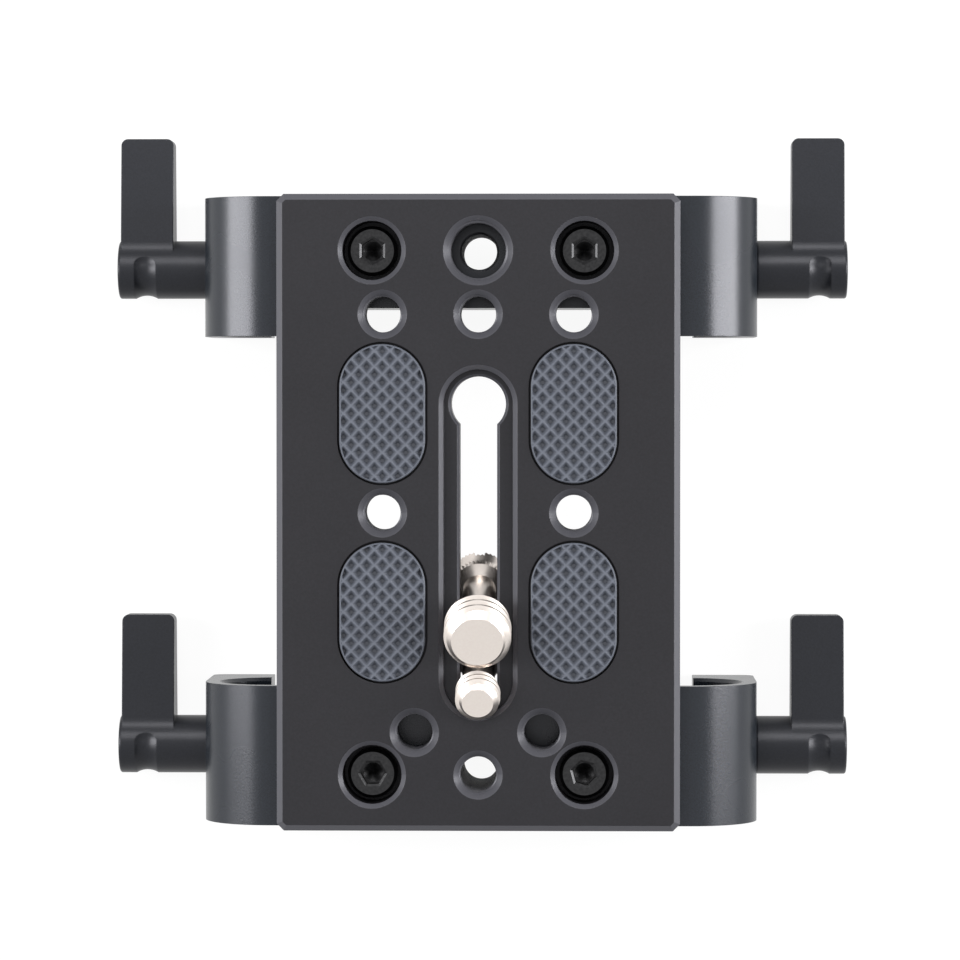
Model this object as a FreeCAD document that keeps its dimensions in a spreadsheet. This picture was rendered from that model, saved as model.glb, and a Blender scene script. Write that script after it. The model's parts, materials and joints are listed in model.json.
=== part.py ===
import FreeCAD, Part
import math
import os
import re
import Sketcher
from FreeCAD import Vector

# Camera baseplate with two split rod blocks, four ratchet levers and two captive camera screws.
# Millimetres and degrees. X runs to the right, Y to the rear, Z up. The part stands on its blocks.

os.makedirs("parts", exist_ok=True)
doc = FreeCAD.newDocument("baseplate")

# Driving sizes, each written once
SIZES = {
    "plate_width": 57,
    "plate_length": 90,
    "plate_thickness": 8,
    "plate_corner_cut": 1,
    "plate_edge_chamfer": 0.85,
    "plate_under_chamfer": 0.5,
    "recess_width": 9.8,
    "recess_depth": 2,
    "recess_chamfer": 0.65,
    "recess_front": 23.8,
    "keyhole_rear": 15.35,
    "keyhole_diameter": 7.8,
    "slot_width": 5.3,
    "slot_front": 24.4,
    "slot_chamfer": 0.35,
    "pad_column": 13.5,
    "pad_row": 14,
    "pad_width": 12.1,
    "pad_length": 19.6,
    "pad_gap": 0.3,
    "pad_pocket_depth": 1.5,
    "pad_height": 2,
    "pad_net_depth": 0.5,
    "pad_net_pitch": 2.2,
    "pad_net_rib": 0.42,
    "pad_rim": 0.3,
    "small_thread_hole": 5.52,
    "small_thread_chamfer": 6.95,
    "large_thread_hole": 8.49,
    "large_thread_chamfer": 9.85,
    "thread_column": 13.5,
    "thread_rear_row": 28,
    "thread_front_row": 31,
    "thread_front_column": 9,
    "bolt_column": 15,
    "bolt_row": 37,
    "bolt_head_diameter": 7,
    "bolt_head_height": 4,
    "bolt_head_chamfer": 0.45,
    "bolt_shank_diameter": 4,
    "bolt_shank_length": 12,
    "bolt_point": 0.5,
    "bolt_shank_play": 0.3,
    "bolt_hole_spare": 1,
    "bolt_key_flats": 3,
    "bolt_key_depth": 2.2,
    "bolt_seat_web": 1.8,
    "bolt_bore_gap": 0.675,
    "bolt_bore_chamfer": 0.62,
    "thread_gap": 0.05,
    "block_width": 80,
    "block_length": 20,
    "block_height": 25,
    "block_bar_length": 16,
    "block_bar_width": 37,
    "block_bar_underside": 9,
    "block_foot_round": 1.8,
    "block_inner_round": 3,
    "rod_spacing": 60,
    "rod_bore": 15.1,
    "rod_drop": 10,
    "rod_bore_chamfer": 0.5,
    "slit_width": 3.2,
    "slit_outer": 31,
    "clamp_screw_height": 4.5,
    "clamp_screw_diameter": 5,
    "clamp_screw_reach": 20.5,
    "clamp_screw_point": 0.6,
    "clamp_jaw_gap": 0.25,
    "spline_count": 10,
    "spline_length": 2.6,
    "spline_diameter": 6.5,
    "spline_depth": 0.5,
    "spline_tooth_width": 0.75,
    "spline_gap": 0.1,
    "spindle_diameter": 3.4,
    "spindle_end": 10.6,
    "spindle_bore_spare": 0.4,
    "lever_start": 0.15,
    "lever_end": 13.5,
    "lever_barrel_diameter": 8.5,
    "lever_barrel_round": 0.35,
    "lever_web_start": 4.6,
    "lever_web": 1.1,
    "lever_running_gap": 0.2,
    "wing_start": 5.4,
    "wing_width": 7.7,
    "wing_reach": 19.2,
    "wing_root_thickness": 6,
    "wing_tip_thickness": 3.6,
    "wing_corner_round": 1,
    "wing_blend": 3,
    "finger_groove_place": 9.5,
    "finger_groove_width": 3.2,
    "finger_groove_depth": 0.45,
    "finger_groove_angle": 200,
    "spring_wire": 0.4,
    "spring_turns": 4,
    "spring_seat_gap": 0.05,
    "end_screw_head_diameter": 5.2,
    "end_screw_head_height": 1.5,
    "end_screw_head_chamfer": 0.3,
    "end_screw_shank_diameter": 2,
    "end_screw_shank_length": 3.6,
    "end_screw_key_flats": 1.5,
    "end_screw_key_depth": 0.8,
    "large_screw_thread": 9.5,
    "large_screw_thread_length": 6.1,
    "large_screw_tip": 7.3,
    "large_screw_neck": 4.7,
    "large_screw_neck_length": 10.75,
    "large_screw_place": 15.4,
    "small_screw_thread": 6.35,
    "small_screw_thread_length": 4.5,
    "small_screw_tip": 4.4,
    "small_screw_neck": 4.6,
    "small_screw_neck_length": 10,
    "small_screw_place": 24.8,
    "knob_diameter": 8.4,
    "knob_height": 3.4,
    "knob_flare": 0.6,
    "knob_chamfer": 0.4,
    "knurl_count": 24,
    "knurl_width": 0.8,
    "knurl_depth": 0.35,
    "knob_slot_width": 1.4,
    "knob_slot_depth": 1.1,
    "lean_gap": 0.05,
    "cut_margin": 1,
}

# Places and sizes that follow from the driving ones
WORKED_OUT = {
    "plate_middle": "(plate_length / 2 - lever_row - wing_reach) / 2",
    "lever_row": "plate_length / 2 - block_length / 2",
    "plate_top": "block_height + plate_thickness",
    "recess_floor": "plate_thickness - recess_depth",
    "pocket_width": "pad_width + 2 * pad_gap",
    "pocket_length": "pad_length + 2 * pad_gap",
    "bolt_bore": "bolt_head_diameter + 2 * bolt_bore_gap",
    "rod_height": "block_height - rod_drop",
    "rod_column": "rod_spacing / 2",
    "slit_middle": "slit_outer - slit_width / 2",
    "bar_inner": "block_bar_length - block_length / 2",
    "bolt_row_in_block": "bolt_row - lever_row",
    "bolt_hole_depth": "bolt_shank_length - bolt_seat_web + bolt_hole_spare",
    "spindle_bore": "end_screw_shank_diameter + 2 * thread_gap",
    "spline_bore": "spline_diameter + 2 * spline_gap",
    "spindle_bore_depth": "end_screw_shank_length + spindle_bore_spare",
    "web_bore": "spindle_diameter + 2 * lever_running_gap",
    "barrel_radius": "lever_barrel_diameter / 2",
    "finger_ball": "(pow(finger_groove_width / 2; 2) + pow(finger_groove_depth; 2)) / (2 * finger_groove_depth)",
    "finger_path": "barrel_radius - finger_groove_depth + finger_ball",
    "spring_bore": "end_screw_head_diameter + 2 * lever_running_gap",
    "lever_web_end": "lever_web_start + lever_web",
    "spring_length": "spindle_end - lever_web_end - 2 * spring_seat_gap",
    "spring_middle_diameter": "(spindle_diameter + spring_bore) / 2",
}

sheet = doc.addObject("Spreadsheet::Sheet", "sizes")
for row, (name, number) in enumerate(SIZES.items(), start=1):
    sheet.set(f"A{row}", name)
    sheet.set(f"B{row}", str(number))
    sheet.setAlias(f"B{row}", name)
doc.recompute()

# How near two places are taken as the same
NEAR = 1e-4


def formula(text):
    """Write a formula in plain names as one that the document can bind."""

    def swap(match):
        word = match.group(0)
        if word in WORKED_OUT:
            return "(" + formula(WORKED_OUT[word]) + ")"
        if word in SIZES:
            return "sizes." + word
        return word

    return re.sub(r"[a-z_]+", swap, text)


def value(text):
    """Work a formula out from the sheet."""
    result = sheet.evalExpression(formula(text))
    return float(getattr(result, "Value", result))


def new_body(label):
    """Start a sub-part, whose label is the name of its node and file."""
    body = doc.addObject("PartDesign::Body", label)
    body.Label = label
    return body


def set_place(body, x, y, z):
    """Tie a sub-part's place to three formulas."""
    body.setExpression("Placement.Base.x", formula(x))
    body.setExpression("Placement.Base.y", formula(y))
    body.setExpression("Placement.Base.z", formula(z))


def turn(body, axis, angle):
    """Turn a sub-part about its own origin."""
    body.Placement.Rotation = FreeCAD.Rotation(axis, angle)


def origin_part(body, role):
    """Find one of the body's own planes or axes."""
    return next(item for item in body.Origin.OriginFeatures if item.Role == role)


def new_sketch(body, name, plane, lift="0"):
    """Start a sketch on one of the body's origin planes, lifted off it by a formula."""
    sketch = body.newObject("Sketcher::SketchObject", name)
    sketch.AttachmentSupport = [(origin_part(body, plane), "")]
    sketch.MapMode = "FlatFace"
    sketch.setExpression("AttachmentOffset.Base.z", formula(lift))
    return sketch


def bind(sketch, constraint, text):
    """Add a dimension that follows a formula."""
    index = sketch.addConstraint(constraint)
    sketch.setExpression(f"Constraints[{index}]", formula(text))


def fix_point(sketch, shape, end, x, y):
    """Dimension a point from the sketch's origin."""
    bind(sketch, Sketcher.Constraint("DistanceX", -1, 1, shape, end, value(x)), x)
    bind(sketch, Sketcher.Constraint("DistanceY", -1, 1, shape, end, value(y)), y)


def circle(sketch, x, y, diameter):
    """Draw a dimensioned circle."""
    middle = Vector(value(x), value(y), 0)
    shape = sketch.addGeometry(Part.Circle(middle, Vector(0, 0, 1), value(diameter) / 2))
    fix_point(sketch, shape, 3, x, y)
    bind(sketch, Sketcher.Constraint("Diameter", shape, value(diameter)), diameter)


def polygon(sketch, corners):
    """Draw a closed outline of straight lines through dimensioned corners."""
    points = [Vector(value(x), value(y), 0) for x, y in corners]
    count = len(points)
    lines = []
    for index, point in enumerate(points):
        lines.append(sketch.addGeometry(Part.LineSegment(point, points[(index + 1) % count])))
    for index, line in enumerate(lines):
        following = lines[(index + 1) % count]
        sketch.addConstraint(Sketcher.Constraint("Coincident", line, 2, following, 1))
        fix_point(sketch, line, 1, *corners[index])


def rectangle(sketch, x, y, width, height):
    """Draw a rectangle about a middle point."""
    left, right = f"{x} - ({width}) / 2", f"{x} + ({width}) / 2"
    low, high = f"{y} - ({height}) / 2", f"{y} + ({height}) / 2"
    polygon(sketch, [(left, low), (right, low), (right, high), (left, high)])


def obround(sketch, x, front, rear, width):
    """Draw a slot shape along Y, between the middles of its round ends."""
    radius = value(width) / 2
    left, right = value(x) - radius, value(x) + radius
    low, high = value(front), value(rear)
    up = Vector(0, 0, 1)
    rear_circle = Part.Circle(Vector(value(x), high, 0), up, radius)
    front_circle = Part.Circle(Vector(value(x), low, 0), up, radius)
    rear_end = sketch.addGeometry(Part.ArcOfCircle(rear_circle, 0, math.pi))
    left_side = sketch.addGeometry(Part.LineSegment(Vector(left, high, 0), Vector(left, low, 0)))
    front_end = sketch.addGeometry(Part.ArcOfCircle(front_circle, math.pi, 2 * math.pi))
    right_side = sketch.addGeometry(Part.LineSegment(Vector(right, low, 0), Vector(right, high, 0)))
    loop = [rear_end, left_side, front_end, right_side]
    for index, shape in enumerate(loop):
        following = loop[(index + 1) % 4]
        sketch.addConstraint(Sketcher.Constraint("Tangent", shape, 2, following, 1))
    sketch.addConstraint(Sketcher.Constraint("Equal", rear_end, front_end))
    fix_point(sketch, rear_end, 3, x, rear)
    fix_point(sketch, front_end, 3, x, front)
    bind(sketch, Sketcher.Constraint("Radius", rear_end, radius), f"({width}) / 2")


def hexagon(sketch, x, y, flats, angle):
    """Draw a hexagon by its width across flats, with one corner at the given angle."""
    corners = []
    for step in range(6):
        turned = angle + 60 * step
        across = f"({flats}) / sqrt(3)"
        corners.append((f"{x} + {across} * cos({turned})", f"{y} + {across} * sin({turned})"))
    polygon(sketch, corners)


def check_change(body, before, grows):
    """Stop if a feature left its body as it was."""
    doc.recompute()
    after = body.Shape.Volume
    if (after <= before) if grows else (after >= before):
        raise ValueError(f"{body.Tip.Name} changed nothing in {body.Label}")


def pad(body, sketch, length, symmetric=False):
    """Push a sketch out into solid material."""
    before = body.Shape.Volume if body.Shape.Solids else 0
    item = body.newObject("PartDesign::Pad", sketch.Name + "_pad")
    item.Profile = sketch
    item.SideType = "Symmetric" if symmetric else "One side"
    item.setExpression("Length", formula(length))
    check_change(body, before, True)
    return item


def pocket(body, sketch, depth=None, symmetric=False, forward=False):
    """Cut a sketch into the body, to a depth or right through."""
    before = body.Shape.Volume
    item = body.newObject("PartDesign::Pocket", sketch.Name + "_pocket")
    item.Profile = sketch
    item.SideType = "Symmetric" if symmetric else "One side"
    item.Reversed = forward
    if depth is None:
        item.Type = "ThroughAll"
    else:
        item.setExpression("Length", formula(depth))
    check_change(body, before, False)
    return item


def revolve(body, sketch, axis):
    """Turn a profile about an axis into solid material."""
    item = body.newObject("PartDesign::Revolution", sketch.Name + "_turned")
    item.Profile = sketch
    item.ReferenceAxis = axis
    item.Angle = 360
    check_change(body, 0, True)
    return item


def groove(body, sketch, axis, angle="360", midplane=False):
    """Turn a profile about an axis to cut the body."""
    before = body.Shape.Volume
    item = body.newObject("PartDesign::Groove", sketch.Name + "_groove")
    item.Profile = sketch
    item.ReferenceAxis = axis
    item.Midplane = midplane
    item.setExpression("Angle", formula(angle))
    check_change(body, before, False)
    return item


def cut_ball(body, name, radius, x, y, z):
    """Cut with a ball, as a round-ended tool leaves the end of its path."""
    before = body.Shape.Volume
    item = body.newObject("PartDesign::SubtractiveSphere", name)
    item.setExpression("Radius", formula(radius))
    item.setExpression("Placement.Base.x", formula(x))
    item.setExpression("Placement.Base.y", formula(y))
    item.setExpression("Placement.Base.z", formula(z))
    check_change(body, before, False)
    return item


def drill(body, sketch, diameter, sink):
    """Drill right through at each circle of a sketch, with a chamfered mouth."""
    doc.recompute()
    before = body.Shape.Volume
    item = body.newObject("PartDesign::Hole", sketch.Name + "_hole")
    item.Profile = sketch
    doc.recompute()
    item.DepthType = "ThroughAll"
    item.ThreadType = "None"
    item.HoleCutType = "Countersink"
    item.HoleCutCountersinkAngle = 90
    item.setExpression("Diameter", formula(diameter))
    item.setExpression("HoleCutDiameter", formula(sink))
    check_change(body, before, False)
    return item


def edges_of(body, test):
    """Name the edges of a body's last feature that pass a test."""
    names = []
    for number, edge in enumerate(body.Tip.Shape.Edges, start=1):
        if test(edge):
            names.append(f"Edge{number}")
    if not names:
        raise ValueError(f"no edge found on {body.Label}")
    return names


def chamfer(body, edges, size):
    """Bevel some edges of a body's last feature."""
    base = body.Tip
    item = body.newObject("PartDesign::Chamfer", base.Name + "_chamfer")
    item.Base = (base, edges)
    item.setExpression("Size", formula(size))
    doc.recompute()
    return item


def fillet(body, edges, radius):
    """Round some edges of a body's last feature."""
    base = body.Tip
    item = body.newObject("PartDesign::Fillet", base.Name + "_fillet")
    item.Base = (base, edges)
    item.setExpression("Radius", formula(radius))
    doc.recompute()
    return item


def mirror(body, features, plane):
    """Repeat features on the other side of one of the body's planes."""
    item = body.newObject("PartDesign::Mirrored", features[0].Name + "_mirrored")
    item.Originals = features
    item.MirrorPlane = (origin_part(body, plane), [""])
    body.Tip = item
    doc.recompute()
    return item


def mirror_twice(body, features):
    """Repeat features in all four quarters of the body."""
    item = body.newObject("PartDesign::MultiTransform", features[0].Name + "_quarters")
    planes = []
    for role in ("YZ_Plane", "XZ_Plane"):
        plane = body.newObject("PartDesign::Mirrored", f"{item.Name}_{role}")
        plane.MirrorPlane = (origin_part(body, role), [""])
        planes.append(plane)
    item.Originals = features
    item.Transformations = planes
    body.Tip = item
    doc.recompute()
    return item


def repeat_round(body, features, axis, count):
    """Repeat features round one of the body's axes."""
    item = body.newObject("PartDesign::PolarPattern", features[0].Name + "_ring")
    item.Originals = features
    item.Axis = (origin_part(body, axis), [""])
    item.Angle = 360
    item.setExpression("Occurrences", formula(count))
    body.Tip = item
    doc.recompute()
    return item


def at_height(edge, height):
    """Say whether an edge lies flat at a height."""
    box = edge.BoundBox
    return abs(box.ZMin - height) < NEAR and abs(box.ZMax - height) < NEAR


def within(edge, reach):
    """Say whether an edge stays within a distance of the middle plane, side to side."""
    box = edge.BoundBox
    return box.XMax < reach + NEAR and box.XMin > -reach - NEAR


def runs_at(edge, distance):
    """Say whether an edge runs square to X at a distance from the middle, on either side."""
    box = edge.BoundBox
    return box.XLength < NEAR and abs(abs(box.Center.x) - distance) < NEAR


def is_round(edge, radius):
    """Say whether an edge is an arc or circle of a radius."""
    return isinstance(edge.Curve, Part.Circle) and abs(edge.Curve.Radius - radius) < NEAR


def make_top_plate():
    """Mill the plate: outline, long recess with its keyhole and slot, pad pockets and holes."""
    body = new_body("top_plate")
    outline = new_sketch(body, "plate_outline", "XY_Plane")
    rectangle(outline, "0", "0", "plate_width", "plate_length")
    pad(body, outline, "plate_thickness")
    top = value("plate_thickness")
    chamfer(body, edges_of(body, lambda edge: edge.BoundBox.ZLength > top / 2), "plate_corner_cut")
    chamfer(body, edges_of(body, lambda edge: at_height(edge, top)), "plate_edge_chamfer")
    chamfer(body, edges_of(body, lambda edge: at_height(edge, 0)), "plate_under_chamfer")

    recess = new_sketch(body, "recess", "XY_Plane", "plate_thickness")
    obround(recess, "0", "-recess_front", "keyhole_rear", "recess_width")
    pocket(body, recess, "recess_depth")
    recess_half = value("recess_width / 2")
    rim = edges_of(body, lambda edge: at_height(edge, top) and within(edge, recess_half))
    chamfer(body, rim, "recess_chamfer")

    slot = new_sketch(body, "slot", "XY_Plane", "recess_floor")
    obround(slot, "0", "-slot_front", "0", "slot_width")
    pocket(body, slot)
    keyhole = new_sketch(body, "keyhole", "XY_Plane", "recess_floor")
    circle(keyhole, "0", "keyhole_rear", "keyhole_diameter")
    pocket(body, keyhole)
    throat = new_sketch(body, "slot_throat", "XY_Plane", "recess_floor")
    rectangle(throat, "0", "keyhole_rear / 2", "slot_width", "keyhole_rear")
    pocket(body, throat)
    floor = value("recess_floor")
    mouth_half = value("keyhole_diameter / 2")
    rim = edges_of(body, lambda edge: at_height(edge, floor) and within(edge, mouth_half))
    chamfer(body, rim, "slot_chamfer")

    pockets = new_sketch(body, "pad_pockets", "XY_Plane", "plate_thickness")
    reach = "(pocket_length - pocket_width) / 2"
    for side in ("-", ""):
        for row in ("-", ""):
            front, rear = f"{row}pad_row - {reach}", f"{row}pad_row + {reach}"
            obround(pockets, f"{side}pad_column", front, rear, "pocket_width")
    pocket(body, pockets, "pad_pocket_depth")

    small = new_sketch(body, "small_thread_holes", "XY_Plane", "plate_thickness")
    circle(small, "0", "thread_rear_row", "small_thread_hole")
    circle(small, "0", "-bolt_row", "small_thread_hole")
    for side in ("-", ""):
        circle(small, f"{side}thread_column", "thread_rear_row", "small_thread_hole")
        circle(small, f"{side}thread_column", "0", "small_thread_hole")
        circle(small, f"{side}thread_front_column", "-thread_front_row", "small_thread_hole")
    drill(body, small, "small_thread_hole", "small_thread_chamfer")
    large = new_sketch(body, "large_thread_hole_place", "XY_Plane", "plate_thickness")
    circle(large, "0", "bolt_row", "large_thread_hole")
    drill(body, large, "large_thread_hole", "large_thread_chamfer")

    bores = new_sketch(body, "bolt_bores", "XY_Plane", "plate_thickness")
    shanks = new_sketch(body, "bolt_shank_holes", "XY_Plane", "bolt_seat_web")
    for side in ("-", ""):
        for row in ("-", ""):
            circle(bores, f"{side}bolt_column", f"{row}bolt_row", "bolt_bore")
            circle(shanks, f"{side}bolt_column", f"{row}bolt_row", "bolt_shank_diameter + bolt_shank_play")
    pocket(body, bores, "plate_thickness - bolt_seat_web")
    pocket(body, shanks)
    bore_radius = value("bolt_bore / 2")
    rim = edges_of(body, lambda edge: at_height(edge, top) and is_round(edge, bore_radius))
    chamfer(body, rim, "bolt_bore_chamfer")
    set_place(body, "0", "plate_middle", "block_height")
    return body


def make_rod_block(label, side):
    """Machine a split clamp block for two rods. The rear one is the front one turned round."""
    body = new_body(label)
    outline = new_sketch(body, label + "_outline", "XZ_Plane")
    rectangle(outline, "0", "block_height / 2", "block_width", "block_height")
    pad(body, outline, "block_length", symmetric=True)
    half_width = value("block_width / 2")
    height = value("block_height")

    def outer_edge(edge, level):
        return at_height(edge, level) and runs_at(edge, half_width)

    fillet(body, edges_of(body, lambda edge: outer_edge(edge, height)), "rod_drop")
    fillet(body, edges_of(body, lambda edge: outer_edge(edge, 0)), "block_foot_round")

    step = new_sketch(body, label + "_bar_step", "XY_Plane", "block_height")
    step_middle = "(bar_inner + block_length / 2) / 2"
    rectangle(step, "0", step_middle, "block_bar_width + block_inner_round", "block_length / 2 - bar_inner")
    pocket(body, step)
    arch = new_sketch(body, label + "_arch", "XZ_Plane")
    rectangle(arch, "0", "block_bar_underside / 2", "block_bar_width", "block_bar_underside")
    pocket(body, arch, symmetric=True)
    arch_height = value("block_bar_underside")
    arch_half = value("block_bar_width / 2")
    corners = edges_of(body, lambda edge: at_height(edge, arch_height) and runs_at(edge, arch_half))
    fillet(body, corners, "block_inner_round")

    bores = new_sketch(body, label + "_rod_bores", "XZ_Plane")
    slits = new_sketch(body, label + "_slits", "XZ_Plane")
    for sign in ("-", ""):
        circle(bores, f"{sign}rod_column", "rod_height", "rod_bore")
        rectangle(slits, f"{sign}slit_middle", "rod_height / 2", "slit_width", "rod_height")
    pocket(body, bores, symmetric=True)
    bore_radius = value("rod_bore / 2")
    chamfer(body, edges_of(body, lambda edge: is_round(edge, bore_radius)), "rod_bore_chamfer")
    pocket(body, slits, symmetric=True)

    screw_hole = new_sketch(body, label + "_screw_hole", "YZ_Plane")
    circle(screw_hole, "0", "clamp_screw_height", "clamp_screw_diameter + 2 * thread_gap")
    pocket(body, screw_hole, symmetric=True)
    jaw_hole = new_sketch(body, label + "_jaw_hole", "YZ_Plane", "block_width / 2")
    circle(jaw_hole, "0", "clamp_screw_height", "clamp_screw_diameter + 2 * clamp_jaw_gap")
    cut = pocket(body, jaw_hole, "block_width / 2 - slit_outer")
    mirror(body, [cut], "YZ_Plane")

    bolts = new_sketch(body, label + "_bolt_holes", "XY_Plane", "block_height")
    for sign in ("-", ""):
        circle(bolts, f"{sign}bolt_column", "-bolt_row_in_block", "bolt_shank_diameter + 2 * thread_gap")
    pocket(body, bolts, "bolt_hole_depth")
    thread = new_sketch(body, label + "_middle_thread", "XY_Plane", "block_height")
    circle(thread, "0", "-bolt_row_in_block", "small_thread_hole")
    pocket(body, thread)
    mouth_radius = value("small_thread_hole / 2")
    rim = edges_of(body, lambda edge: at_height(edge, arch_height) and is_round(edge, mouth_radius))
    chamfer(body, rim, "(small_thread_chamfer - small_thread_hole) / 2")
    set_place(body, "0", f"plate_middle {side} lever_row", "0")
    if side == "+":
        turn(body, Vector(0, 0, 1), 180)
    return body


def draw_pits(sketch):
    """Draw the diamond pits between the ribs of a pad's net, all inside a plain rim."""
    pitch = value("pad_net_pitch")
    reach = pitch / 2 - value("pad_net_rib") / math.sqrt(2)
    inner = value("pad_width / 2 - pad_rim")
    straight = value("(pad_length - pad_width) / 2")
    rows = int(value("pad_length") / pitch) + 2
    columns = int(value("pad_width") / pitch) + 2
    for row in range(-2 * rows, 2 * rows + 1):
        for column in range(-2 * columns, 2 * columns + 1):
            if (row + column) % 2:
                continue
            x, y = column * pitch / 2, row * pitch / 2
            beyond = max(0, abs(y) + reach - straight)
            if math.hypot(abs(x), beyond) > inner or abs(x) + reach > inner:
                continue
            corners = [(x + reach, y), (x, y + reach), (x - reach, y), (x, y - reach)]
            for index, (left, low) in enumerate(corners):
                right, high = corners[(index + 1) % 4]
                sketch.addGeometry(Part.LineSegment(Vector(left, low, 0), Vector(right, high, 0)))


def make_pad(label, x, y):
    """Mould a rubber pad with a raised diamond net."""
    body = new_body(label)
    outline = new_sketch(body, label + "_outline", "XY_Plane")
    reach = "(pad_length - pad_width) / 2"
    obround(outline, "0", f"-{reach}", reach, "pad_width")
    pad(body, outline, "pad_height")
    pits = new_sketch(body, label + "_pits", "XY_Plane", "pad_height")
    draw_pits(pits)
    pocket(body, pits, "pad_net_depth")
    set_place(body, x, f"plate_middle + {y}", "plate_top - pad_pocket_depth")
    return body


def make_plate_screws():
    """Turn the four socket cap screws that hold the plate on its blocks."""
    body = new_body("plate_screws")
    profile = new_sketch(body, "bolt_profile", "XZ_Plane", "bolt_row")
    profile.setExpression("AttachmentOffset.Base.x", formula("bolt_column"))
    head = "bolt_head_diameter / 2"
    shank = "bolt_shank_diameter / 2"
    polygon(profile, [
        ("0", "-bolt_shank_length"),
        (f"{shank} - bolt_point", "-bolt_shank_length"),
        (shank, "bolt_point - bolt_shank_length"),
        (shank, "0"),
        (head, "0"),
        (head, "bolt_head_height - bolt_head_chamfer"),
        (f"{head} - bolt_head_chamfer", "bolt_head_height"),
        ("0", "bolt_head_height"),
    ])
    turned = revolve(body, profile, (profile, ["V_Axis"]))
    mirror_twice(body, [turned])
    keys = new_sketch(body, "bolt_keys", "XY_Plane", "bolt_head_height")
    corner_angles = {("-", "-"): 90, ("", "-"): 75, ("-", ""): 0, ("", ""): 0}
    for (side, row), angle in corner_angles.items():
        hexagon(keys, f"{side}bolt_column", f"{row}bolt_row", "bolt_key_flats", angle)
    pocket(body, keys, "bolt_key_depth")
    set_place(body, "0", "plate_middle", "block_height + bolt_seat_web")
    return body


def lean_of(kind):
    """Work out how far a camera screw tips, with its thread on the recess floor and its knob
    under the plate."""
    width = f"({kind}_screw_thread + knob_diameter) / 2"
    web = "(recess_floor + 2 * lean_gap)"
    length = f"{kind}_screw_neck_length"
    return f"acos({web} / sqrt(pow({length}; 2) + pow({width}; 2))) - atan({width} / {length})"


def make_camera_screw(kind):
    """Turn a captive camera screw: threaded end, thin neck and knurled knob with a slot."""
    label = f"camera_screw_{kind}"
    body = new_body(label)
    thread = f"{kind}_screw_thread / 2"
    thread_end = f"{kind}_screw_thread_length"
    tip = f"{kind}_screw_tip / 2"
    neck = f"{kind}_screw_neck / 2"
    knob = "knob_diameter / 2"
    knob_top = f"-{kind}_screw_neck_length"
    profile = new_sketch(body, label + "_profile", "XZ_Plane")
    polygon(profile, [
        ("0", f"{knob_top} - knob_height"),
        (f"{knob} - knob_chamfer", f"{knob_top} - knob_height"),
        (knob, f"{knob_top} - knob_height + knob_chamfer"),
        (knob, knob_top),
        (f"{neck} + knob_flare", knob_top),
        (neck, f"{knob_top} + knob_flare"),
        (neck, "0"),
        (thread, "0"),
        (thread, f"{thread_end} - ({thread} - {tip})"),
        (tip, thread_end),
        ("0", thread_end),
    ])
    revolve(body, profile, (origin_part(body, "Z_Axis"), [""]))
    flute = new_sketch(body, label + "_flute", "XY_Plane", f"{knob_top}")
    polygon(flute, [
        (f"{knob} - knurl_depth", "0"),
        (f"{knob} + knurl_depth", "knurl_width"),
        (f"{knob} + knurl_depth", "-knurl_width"),
    ])
    cut = pocket(body, flute, "knob_height")
    repeat_round(body, [cut], "Z_Axis", "knurl_count")
    slot = new_sketch(body, label + "_slot", "XY_Plane", f"{knob_top} - knob_height")
    rectangle(slot, "0", "0", "knob_slot_width", "knob_diameter + cut_margin")
    pocket(body, slot, "knob_slot_depth", forward=True)
    lean = lean_of(kind)
    set_place(body, "0", f"plate_middle - {kind}_screw_place",
              f"block_height + recess_floor + lean_gap + {thread} * sin({lean})")
    body.Placement.Rotation = FreeCAD.Rotation(Vector(1, 0, 0), 0)
    body.setExpression("Placement.Rotation.Angle", formula(lean))
    return body


def set_on_block(body, side, row):
    """Set a lever part on its clamp screw axis, facing outwards on its own side."""
    set_place(body, f"{side} block_width / 2", f"plate_middle {row} lever_row", "clamp_screw_height")
    if side == "-":
        turn(body, Vector(0, 1, 0), 180)


def make_clamp_screw(label):
    """Turn the cross screw of a split bore, with splines that the lever drives."""
    body = new_body(label)
    profile = new_sketch(body, label + "_profile", "XY_Plane")
    shank = "clamp_screw_diameter / 2"
    polygon(profile, [
        ("-clamp_screw_reach", "0"),
        ("-clamp_screw_reach", f"{shank} - clamp_screw_point"),
        ("clamp_screw_point - clamp_screw_reach", shank),
        ("0", shank),
        ("0", "spline_diameter / 2"),
        ("spline_length", "spline_diameter / 2"),
        ("spline_length", "spindle_diameter / 2"),
        ("spindle_end", "spindle_diameter / 2"),
        ("spindle_end", "spindle_bore / 2"),
        ("spindle_end - spindle_bore_depth", "spindle_bore / 2"),
        ("spindle_end - spindle_bore_depth", "0"),
    ])
    revolve(body, profile, (origin_part(body, "X_Axis"), [""]))
    flute = new_sketch(body, label + "_flute", "YZ_Plane", "lever_start")
    half = "(spline_tooth_width / 2 + spline_gap)"
    root = "spline_diameter / 2 - spline_depth - spline_gap"
    polygon(flute, [
        (f"-{half}", root),
        (half, root),
        (half, "spline_diameter / 2 + cut_margin"),
        (f"-{half}", "spline_diameter / 2 + cut_margin"),
    ])
    cut = pocket(body, flute, "spline_length", forward=True)
    repeat_round(body, [cut], "X_Axis", "spline_count")
    return body


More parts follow.
